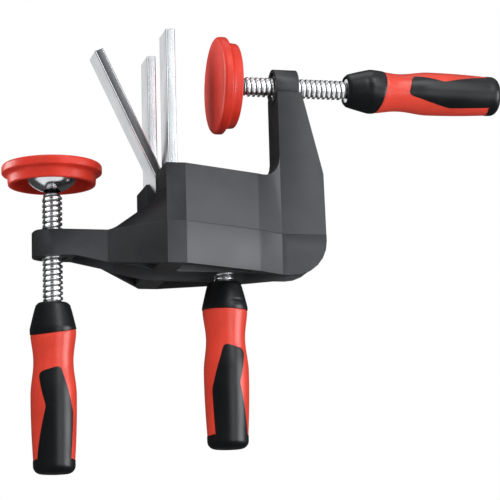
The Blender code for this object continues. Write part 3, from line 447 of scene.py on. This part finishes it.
# The thread roots, up to 5.3 mm and fading out by 5.8 mm, take the near-black colour as painted shade
spindle_steel = metal("rolled_spindle_steel", (0.9, 0.91, 0.92), rough=0.2, streak=900.0, depth=0.01 * MM,
                      low=5.3 * MM, high=5.8 * MM, grime=(0.04, 0.04, 0.04))


def thread_height(turn_share):
    """Share of the thread's depth at a share of the pitch: broad crest, steep flanks, narrow root."""
    wave = 0.9 + 1.1 * math.cos(2 * math.pi * turn_share)
    return min(1.0, max(0.0, wave)) ** 0.85


def rolled_spindle(side, low, high, tip):
    """The whole spindle: tang, thread and end, on the handle's axis."""
    name = f"rolled_{side}_spindle"
    rows = int((high - low) / PITCH * ROWS_PER_PITCH) + 1
    runout = 0.6 * PITCH
    verts, faces = [], []
    for m in range(rows + 1):
        height = low + (high - low) * m / rows
        fade = max(0.0, min(1.0, (height - low) / runout, (high - height) / runout))
        for k in range(COLUMNS):
            angle = 2 * math.pi * k / COLUMNS
            share = (height - low) / PITCH - k / COLUMNS
            radius = ROOT + (CREST - ROOT) * thread_height(share) * fade
            verts.append((radius * math.cos(angle), radius * math.sin(angle), height))
    for m in range(rows):
        for k in range(COLUMNS):
            a, b = m * COLUMNS + k, m * COLUMNS + (k + 1) % COLUMNS
            faces.append((a, b, b + COLUMNS, a + COLUMNS))
    spindle = turned(name, [(0, TANG_END), (TANG, TANG_END), (TANG, low), (ROOT, low), (ROOT, high)] + tip,
                     spindle_steel, SCREW_PLACES[side], COLUMNS)
    shape = bmesh.new()
    shape.from_mesh(spindle.data)
    thread = bpy.data.meshes.new(f"{name}_thread")
    thread.from_pydata(verts, [], faces)
    shape.from_mesh(thread)
    shape.to_mesh(spindle.data)
    shape.free()
    spindle.data.shade_smooth()
    spindle.data.set_sharp_from_angle(angle=math.radians(50))
    dress(spindle, f"{side}_screw", "bright_steel", f"{side}_spindle")


neck_angle = math.degrees(math.acos(NECK / BALL))
ball_end = [(ROOT, THREAD_END + 0.2 * MM), (NECK, THREAD_END + 1.0 * MM)]
ball_end += arc(BALL, (0, BALL_AT), -neck_angle, 90, 14)
for side in ("left", "right"):
    rolled_spindle(side, SHOULDER, THREAD_END, ball_end)
cap_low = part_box("thrust_cap")[0].z - SCREW_PLACES["middle"].translation.z
tip_end = cap_low + 5.3 * MM
rolled_spindle("middle", SHOULDER, cap_low - 0.4 * MM, [(NECK, cap_low - 0.3 * MM), (NECK, tip_end), (0, tip_end)])

collar_zinc = metal("plated_collar", (0.8, 0.81, 0.82), rough=0.14, streak=800.0, depth=0.01 * MM)
TANG_BORE = 5.3 * MM
COLLAR_RADIUS = 8.3 * MM
COLLAR_SPAN = (-2.7 * MM, -0.7 * MM)
COLLAR_ROUND = 0.5 * MM
for side in ("left", "middle", "right"):
    ring = [(TANG_BORE, COLLAR_SPAN[0]), (COLLAR_RADIUS, COLLAR_SPAN[0])]
    ring += arc(COLLAR_ROUND, (COLLAR_RADIUS - COLLAR_ROUND, COLLAR_SPAN[1] - COLLAR_ROUND), 0, 90, 4)
    ring += [(TANG_BORE, COLLAR_SPAN[1])]
    dress(turned(f"collar_{side}", ring, collar_zinc, SCREW_PLACES[side], 64), f"{side}_screw", "zinc_plate",
          f"{side}_spindle_collar")

# Handles
# Hard red polypropylene core over the tang, with a soft black nose, two soft panels and a soft heel.
# The soft parts are moulded on in one shot and stand a hair proud, with a rounded border line.
HANDLE_LENGTH = 110 * MM
# Radius at the mouth, and distance from the tip and radius where the handle flares, narrows and bellies out
MOUTH_RADIUS = 10.4 * MM
FLARE_AT, FLARE_RADIUS = 17 * MM, 14.9 * MM
WAIST_AT, WAIST_RADIUS = 38 * MM, 12.9 * MM
BELLY_AT, BELLY_RADIUS = 60 * MM, 14.85 * MM
HEEL_AT, HEEL_RADIUS = 101.5 * MM, 13.4 * MM
HEEL_ROUND = 5.2 * MM
HANDLE_TURN = {"left": math.radians(-98), "middle": math.radians(-87.5), "right": math.radians(-89)}
HANDLE_MIRROR = {"left": -1, "middle": 1, "right": 1}
# Rear border of the nose: middle distance from the tip, slant, and the side on which it reaches furthest
NOSE_BORDER = {"left": (18.9 * MM, 2.9 * MM, math.radians(-136)), "middle": (19.0 * MM, 0.4 * MM, math.radians(-49)),
               "right": (23.4 * MM, 3.6 * MM, math.radians(-51))}
PROUD = 0.22 * MM
# Recess round the collar, and the moulded line near the nose's middle
MOUTH_BORE, MOUTH_DEPTH, LIP = 8.6 * MM, 3.0 * MM, 0.8 * MM
LINE_AT, LINE_WIDTH, LINE_DEPTH = 13.2 * MM, 0.5 * MM, 0.35 * MM
# A soft panel's start and its slant, width and rounded corners there; its edges are given as
# distance from the tip in millimetres and angle round the axis in degrees
PANEL_START, PANEL_SLANT, PANEL_WIDTH, PANEL_CORNER = 42 * MM, 4 * MM, 14 * MM, 3 * MM
PANEL_CROWN = 0.25 * MM
PANEL_RIGHT = ((46.0, 44.0), (68.0, 20.0), (100.0, 52.0))
PANEL_LEFT = ((42.0, -20.0), (72.0, -55.0), (100.0, -52.0))
core_red = moulded("hard_red_core", (0.7, 0.05, 0.026), (0.8, 0.16, 0.11), rough=0.34, grain=1900.0,
                   depth=0.01 * MM, wear=0.25)
soft_black = moulded("soft_black_grip", (0.006, 0.0072, 0.0078), (0.05, 0.05, 0.052), rough=0.33, grain=3200.0,
                     depth=0.04 * MM, wear=0.4, specular=0.4)


def handle_radius(depth):
    """Outer radius at a distance behind the nose tip."""
    def ease(start, end, a, b):
        return start + (end - start) * (1 - math.cos(math.pi * (depth - a) / (b - a))) / 2
    if depth <= FLARE_AT:
        return MOUTH_RADIUS + (FLARE_RADIUS - MOUTH_RADIUS) * (max(depth, 0.0) / FLARE_AT) ** 0.85
    if depth <= WAIST_AT:
        return ease(FLARE_RADIUS, WAIST_RADIUS, FLARE_AT, WAIST_AT)
    if depth <= BELLY_AT:
        return ease(WAIST_RADIUS, BELLY_RADIUS, WAIST_AT, BELLY_AT)
    return BELLY_RADIUS - (BELLY_RADIUS - HEEL_RADIUS) * min(1.0, (depth - BELLY_AT) / (HEEL_AT - BELLY_AT)) ** 2


def panel_edge(points, depth):
    """Angle of a panel's edge, its corners eased over a few millimetres."""
    def plain(d):
        d = min(max(d, points[0][0]), points[-1][0])
        for (d0, a0), (d1, a1) in zip(points, points[1:]):
            if d <= d1:
                return a0 + (a1 - a0) * (d - d0) / (d1 - d0)
        return points[-1][1]
    d = depth / MM
    return math.radians(sum(plain(d + step) for step in (-1.4, -0.7, 0.0, 0.7, 1.4)) / 5)


def nose_piece(side):
    """The soft nose: mouth, rounded lip, flare with its moulded line, and the slanted rear border."""
    middle, slant, toward = NOSE_BORDER[side]
    line_side = toward - math.radians(20)

    def profile(angle):
        border = middle + slant * math.cos(angle - toward)
        near_line = max(0.0, 1 - abs(math.remainder(angle - line_side, 2 * math.pi)) / 0.5)
        points = [(TANG_BORE, -MOUTH_DEPTH), (MOUTH_BORE, -MOUTH_DEPTH), (MOUTH_BORE, -0.9 * MM)]
        points += arc(LIP, (MOUTH_BORE + LIP, -LIP), 180, 60, 5)
        for i in range(1, 25):
            depth = LIP + (border - 0.4 * MM - LIP) * i / 24
            groove = LINE_DEPTH * min(1.0, 2 * near_line) * math.exp(-((depth - LINE_AT) / LINE_WIDTH) ** 2)
            points.append((handle_radius(depth) + PROUD - groove, -depth))
        radius = handle_radius(border)
        points += [(radius + PROUD - 0.12 * MM, -border + 0.1 * MM), (radius - 0.3 * MM, -border),
                   (radius - 1.2 * MM, -border), (TANG_BORE, -border)]
        return points
    return turned(f"soft_nose_{side}", profile, soft_black, SCREW_PLACES[side], 96)


def core_piece(side):
    """The hard core, from just inside the nose's border to the heel, with the tang's blind hole."""
    middle, slant, toward = NOSE_BORDER[side]

    def profile(angle):
        border = middle + slant * math.cos(angle - toward) - 0.8 * MM
        end = HEEL_AT + 0.4 * MM
        points = [(TANG_BORE, -border), (handle_radius(border) - 0.6 * MM, -border)]
        points += [(handle_radius(border + (end - border) * i / 48), -border - (end - border) * i / 48)
                   for i in range(1, 49)]
        return points + [(0, -end), (0, TANG_END - 0.6 * MM), (TANG_BORE, TANG_END - 0.6 * MM)]
    return turned(f"hard_core_{side}", profile, core_red, SCREW_PLACES[side], 96)


def grip_piece(side):
    """Both soft panels and the heel as one skin, with its border turned in."""
    mirror = HANDLE_MIRROR[side]
    along, across, strip = 44, 16, 14
    shape = bmesh.new()

    def point(radius, angle, depth):
        turn = angle + HANDLE_TURN[side]
        return shape.verts.new((radius * math.cos(turn), radius * math.sin(turn), -depth))
    rims = []
    for flank in (0, 1):
        rows = []
        for i in range(along + 1):
            row = []
            for j in range(across + 1):
                share = (1 - math.cos(math.pi * j / across)) / 2
                inset = max(0.0, PANEL_CORNER - min(share, 1 - share) * PANEL_WIDTH)
                round_off = PANEL_CORNER - math.sqrt(PANEL_CORNER ** 2 - inset ** 2)
                start = PANEL_START + PANEL_SLANT * share + round_off
                depth = start + (HEEL_AT - start) * i / along
                low, high = panel_edge(PANEL_LEFT, depth), panel_edge(PANEL_RIGHT, depth)
                angle = flank * math.pi + mirror * (1 - 2 * flank) * (low + (high - low) * share)
                crown = PANEL_CROWN * math.sin(math.pi * share) * min(1.0, i / 8) * (1 - i / along)
                row.append(point(handle_radius(depth) + PROUD + crown, angle, depth))
            rows.append(row)
        for i in range(along):
            for j in range(across):
                shape.faces.new((rows[i][j], rows[i][j + 1], rows[i + 1][j + 1], rows[i + 1][j]))
        rims.append(rows[-1])
    # The heel starts from both panels' last rows, joined by an arc over each red strip
    edge = handle_radius(HEEL_AT) + PROUD
    ring = []
    order = [rims[0], rims[1][::-1]] if mirror > 0 else [rims[0][::-1], rims[1]]
    for index, rim in enumerate(order):
        ring += rim
        first, last = rim[-1].co, order[1 - index][0].co
        a0 = math.atan2(first.y, first.x)
        a1 = a0 + (math.atan2(last.y, last.x) - a0) % (2 * math.pi)
        for n in range(1, strip):
            t = n / strip
            lead = 1.6 * MM * (abs(2 * t - 1) ** 6)
            turn = a0 + (a1 - a0) * t
            ring.append(shape.verts.new((edge * math.cos(turn), edge * math.sin(turn), -HEEL_AT + lead)))
    angles = [math.atan2(v.co.y, v.co.x) for v in ring]
    heel = [(edge, -HEEL_AT - 0.6 * MM), (edge, -HEEL_AT - 2.5 * MM)]
    heel += arc(HEEL_ROUND, (edge - HEEL_ROUND, -HANDLE_LENGTH + HEEL_ROUND), 0, -90, 10)[1:]
    heel += [(2.6 * MM, -HANDLE_LENGTH), (2.2 * MM, -HANDLE_LENGTH + 0.9 * MM), (0.0, -HANDLE_LENGTH + 1.0 * MM)]
    previous = ring
    for radius, height in heel:
        if radius == 0.0:
            tip = shape.verts.new((0, 0, height))
            for n in range(len(previous)):
                shape.faces.new((previous[n], previous[(n + 1) % len(previous)], tip))
            break
        row = [shape.verts.new((radius * math.cos(a), radius * math.sin(a), height)) for a in angles]
        for n in range(len(row)):
            m = (n + 1) % len(row)
            shape.faces.new((previous[n], previous[m], row[m], row[n]))
        previous = row
    border = [e for e in shape.edges if e.is_boundary]
    made = bmesh.ops.extrude_edge_only(shape, edges=border)["geom"]
    for vert in [v for v in made if isinstance(v, bmesh.types.BMVert)]:
        flat = Vector((vert.co.x, vert.co.y, 0))
        vert.co -= flat.normalized() * 1.2 * MM
    bmesh.ops.recalc_face_normals(shape, faces=shape.faces)
    bmesh.ops.bevel(shape, geom=border, offset=0.35 * MM, segments=3, profile=0.5, affect="EDGES",
                    clamp_overlap=True)
    mesh = bpy.data.meshes.new(f"soft_grip_{side}")
    shape.to_mesh(mesh)
    shape.free()
    mesh.shade_smooth()
    mesh.set_sharp_from_angle(angle=math.radians(60))
    mesh.materials.append(soft_black)
    piece = bpy.data.objects.new(f"soft_grip_{side}", mesh)
    bpy.context.scene.collection.objects.link(piece)
    piece.matrix_world = SCREW_PLACES[side]
    return piece


for side in ("left", "middle", "right"):
    dress(nose_piece(side), f"{side}_screw", "grip_black", f"{side}_handle_nose")
    dress(core_piece(side), f"{side}_screw", "handle_red", f"{side}_handle_core")
    dress(grip_piece(side), f"{side}_screw", "grip_black", f"{side}_handle_grip")

# Pressure pads
# A red moulded cap snaps over a pressed steel plate whose dome closes round the screw's neck.
# The cap has a rolled rim, an undercut and a skirt ring; a nylon cup lies between ball and cap.
PAD_FACE = 11.1 * MM
PAD_RADIUS = 32.8 * MM
PAD_DEPTH = 13.8 * MM
PAD_BORE = 26.2 * MM
RIM_ROUND, LIP_ROUND, RING_ROUND = 2.2 * MM, 1.2 * MM, 0.9 * MM
RING_RADIUS = 28.6 * MM
FLOOR_THICKNESS = 3.4 * MM
# The pressed plate: flange, upright wall of the dome, sphere of its bowl, and its depth below the pad's face
PLATE = 1.5 * MM
FLANGE_RADIUS = 21 * MM
DOME_RADIUS = 18 * MM
DOME_SPHERE = 21 * MM
DOME_DEPTH = 17.4 * MM
SWIVEL = math.radians(10)
pad_red = moulded("pad_red", (0.62, 0.032, 0.016), (0.8, 0.14, 0.1), rough=0.38, grain=1700.0, depth=0.015 * MM,
                  wear=0.3, specular=0.35)
dome_zinc = metal("pressed_dome_zinc", (0.72, 0.74, 0.77), rough=0.17, streak=400.0, depth=0.01 * MM)
BALL_PLACES = {side: SCREW_PLACES[side] @ Matrix.Translation((0, 0, BALL_AT)) for side in ("left", "right")}
DOME_LOW = PAD_FACE - DOME_DEPTH
DOME_HOLE = NECK + 0.3 * MM - DOME_LOW * math.tan(SWIVEL)


def bowl(sphere, radius, bottom):
    """Arc of the dome from its widest radius down to the hole round the neck, which leaves room to swivel."""
    drop = math.sqrt(sphere ** 2 - DOME_HOLE ** 2)
    reach = [radius + (DOME_HOLE - radius) * math.sin(math.pi / 2 * i / 14) for i in range(15)]
    return [(r, bottom + drop - math.sqrt(sphere ** 2 - r ** 2)) for r in reach]


for side, place in BALL_PLACES.items():
    top = PAD_FACE
    cap = [(0, top), (29.5 * MM, top - 0.05 * MM)]
    cap += arc(RIM_ROUND, (PAD_RADIUS - RIM_ROUND, top - 2.3 * MM), 80, 0, 6) + [(PAD_RADIUS, top - 4.6 * MM)]
    cap += arc(LIP_ROUND, (PAD_RADIUS - LIP_ROUND, top - 5.2 * MM), 0, -70, 4)
    cap += [(30.6 * MM, top - 6.7 * MM), (29.5 * MM, top - 7.5 * MM), (29.0 * MM, top - 8.8 * MM),
            (28.7 * MM, top - 12.4 * MM)]
    cap += arc(RING_ROUND, (RING_RADIUS - RING_ROUND, top - PAD_DEPTH + RING_ROUND), 0, -90, 4)
    cap += [(26.6 * MM, top - PAD_DEPTH), (PAD_BORE, top - 13.4 * MM), (PAD_BORE, top - FLOOR_THICKNESS - 1.0 * MM),
            (PAD_BORE - 1.0 * MM, top - FLOOR_THICKNESS), (0, top - FLOOR_THICKNESS)]
    dress(turned(f"pressure_cap_{side}", cap, pad_red, place, 96), f"{side}_pad", "pad_red", f"{side}_pad_cap")
    plate_top = top - FLOOR_THICKNESS - 0.3 * MM
    outer = bowl(DOME_SPHERE, DOME_RADIUS, DOME_LOW)
    dome = [(FLANGE_RADIUS - 0.3 * MM, plate_top), (FLANGE_RADIUS, plate_top - 0.3 * MM),
            (FLANGE_RADIUS, plate_top - PLATE + 0.3 * MM), (FLANGE_RADIUS - 0.3 * MM, plate_top - PLATE)]
    dome += arc(0.9 * MM, (DOME_RADIUS + 0.9 * MM, plate_top - PLATE - 0.9 * MM), 90, 180, 4)
    dome += [(DOME_RADIUS, outer[0][1] + 0.9 * MM), (DOME_RADIUS - 0.1 * MM, outer[0][1] + 0.2 * MM)] + outer[2:]
    dome += bowl(DOME_SPHERE - PLATE, DOME_RADIUS - PLATE, DOME_LOW + PLATE)[::-1] + [(DOME_RADIUS - PLATE, plate_top)]
    dress(turned(f"pressed_dome_{side}", dome, dome_zinc, place, 96), f"{side}_pad", "zinc_plate",
          f"{side}_swivel_plate")
    soften_edges(f"{side}_ball_seat", f"nylon_cup_{side}", spacer_nylon, 0.2 * MM, f"{side}_carriage", 2)

# Studio
# Pale floor well below the clamp, white surroundings, soft lamps from the right, the front, the left and above.
# The camera stands left of the clamp and below it, looking slightly up, as the photograph's does.
FLOOR_HALF = 4.0
FLOOR_Z = -0.45
floor_mesh = bpy.data.meshes.new("floor")
floor_mesh.from_pydata([(x * FLOOR_HALF, y * FLOOR_HALF, 0) for x, y in ((-1, -1), (1, -1), (1, 1), (-1, 1))], [],
                       [(0, 1, 2, 3)])
floor = bpy.data.objects.new("floor", floor_mesh)
floor.location = (0, 0, FLOOR_Z)
bpy.context.scene.collection.objects.link(floor)
floor_finish = bpy.data.materials.new("pale_floor")
floor_finish.use_nodes = True
floor_shader = floor_finish.node_tree.nodes["Principled BSDF"]
floor_shader.inputs["Base Color"].default_value = (0.92, 0.92, 0.92, 1)
floor_shader.inputs["Roughness"].default_value = 0.9
floor_mesh.materials.append(floor_finish)
# The undersides mirror the dim room, not the floor, so they stay dark
floor.visible_glossy = False

world = bpy.data.worlds.new("studio")
bpy.context.scene.world = world
world.use_nodes = True
tree = world.node_tree
tree.nodes.clear()
seen = add_node(tree, "LightPath")
sky = add_node(tree, "TexCoord").outputs["Generated"]
# A dim room with two paler areas that every surface mirrors: direction, where each starts and is full, and its glow
glow = 0.06
for toward, start, full, change in (((0.9, -0.4, 0.0), 0.7, 0.95, 0.35), ((0.1, -0.3, 0.95), 0.55, 0.9, 0.5)):
    share = add_node(tree, "VectorMath", {"operation": "DOT_PRODUCT"}, _0=sky, _1=Vector(toward).normalized())
    part = add_node(tree, "MapRange", {"interpolation_type": "SMOOTHSTEP"}, _0=share.outputs["Value"], _1=start,
                    _2=full, _3=0.0, _4=change)
    glow = add_node(tree, "Math", {"operation": "ADD"}, _0=glow, _1=part.outputs[0]).outputs[0]
dim = add_node(tree, "Background", Color=(0.97, 0.98, 1.0, 1), Strength=0.32)
mirrored = add_node(tree, "Background", Color=(0.97, 0.985, 1.0, 1), Strength=glow)
white = add_node(tree, "Background", Color=(1, 1, 1, 1), Strength=1.0)
glossy = add_node(tree, "MixShader", _0=seen.outputs["Is Glossy Ray"], _1=dim.outputs[0], _2=mirrored.outputs[0])
direct = add_node(tree, "Math", {"operation": "MAXIMUM"}, _0=seen.outputs["Is Camera Ray"],
                  _1=seen.outputs["Is Transmission Ray"])
pick = add_node(tree, "MixShader", _0=direct.outputs[0], _1=glossy.outputs[0], _2=white.outputs[0])
add_node(tree, "OutputWorld", Surface=pick.outputs[0])


def lamp(name, place, target, size, power, receivers=None, glossy=True, color=(1, 1, 1)):
    """A square soft lamp that points at a place on the clamp; receivers are the only pieces it lights."""
    light = bpy.data.lights.new(name, "AREA")
    light.size = size
    light.energy = power
    light.color = color
    item = bpy.data.objects.new(name, light)
    item.location = place
    item.rotation_euler = (Vector(target) - Vector(place)).to_track_quat("-Z", "Y").to_euler()
    item.visible_camera = False
    item.visible_glossy = glossy
    bpy.context.scene.collection.objects.link(item)
    if receivers:
        item.light_linking.receiver_collection = receivers


# The clamp's pieces, its bright metal ones and its pads, so that a lamp or card can light only these
clamp, bright_metal, pads = (bpy.data.collections.new(name) for name in ("clamp", "bright_metal", "pads"))
for item in bpy.data.objects:
    if item.type != "MESH" or item == floor or not item.data.materials:
        continue
    clamp.objects.link(item)
    finish = item.data.materials[0]
    if finish == pad_red:
        pads.objects.link(item)
    if finish.node_tree.nodes["Principled BSDF"].inputs["Metallic"].default_value == 1.0:
        bright_metal.objects.link(item)

COOL = (0.94, 0.97, 1.0)
lamp("right_box", (1.22, -0.62, -0.12), (0.03, 0, -0.1), 0.8, 13.0, clamp, color=COOL)
lamp("front_box", (0.46, -1.5, 0.06), (0.02, 0, -0.1), 0.7, 1.5, clamp, color=COOL)
lamp("left_fill", (-1.0, -1.25, 0.35), (0.0, 0, -0.1), 0.9, 10.5, glossy=False)
lamp("top_box", (-0.1, 0.1, 1.3), (0, 0, -0.1), 0.8, 3.0)
lamp("high_front_box", (0.4, -1.0, 1.1), (0.05, 0, -0.1), 0.6, 5.6)
lamp("handle_box", (0.56, -1.1, 0.5), (0.15, 0, 0.0), 0.4, 2.2, clamp, color=COOL)
lamp("under_box", (0.42, -1.2, -0.28), (0.02, 0, -0.15), 0.45, 1.5, clamp, color=COOL)

# White cards that only the metal mirrors, so that the plastic beside it stays dark, and one for the flat red pads
lamp("back_card", (-0.55, 1.9, 0.4), (0, 0, 0), 1.5, 5.4, bright_metal)
lamp("front_card", (0.45, -1.6, 0.32), (0, 0, 0), 1.1, 2.6, bright_metal)
lamp("left_card", (-1.4, -0.7, 0.2), (0, 0, -0.05), 1.5, 13.0, bright_metal)
lamp("low_card", (-0.05, -0.25, -0.43), (-0.05, -0.2, 0), 0.9, 2.4, bright_metal)
lamp("pad_card", (-1.45, 0.85, 0.34), (0, 0, 0), 1.0, 24.0, pads)

SENSOR_WIDTH = 36.0
FOCAL_WIDTHS = 4.0498
camera_data = bpy.data.cameras.new("camera")
camera_data.sensor_width = SENSOR_WIDTH
camera_data.lens = FOCAL_WIDTHS * SENSOR_WIDTH
camera_data.clip_end = 20.0
camera = bpy.data.objects.new("camera", camera_data)
look = Vector((0.2402, 0.9523, 0.1882)).normalized()
level = Vector((look.y, -look.x, 0)).normalized()
upright = level.cross(look)
roll = math.radians(-1.57)
right = math.cos(roll) * level + math.sin(roll) * upright
top = -math.sin(roll) * level + math.cos(roll) * upright
turn = Matrix((right, top, -look)).transposed()
camera.matrix_world = Matrix.Translation((-0.2663, -1.2828, -0.3658)) @ turn.to_4x4()
bpy.context.scene.collection.objects.link(camera)
bpy.context.scene.camera = camera
bpy.context.scene.view_settings.view_transform = "Standard"
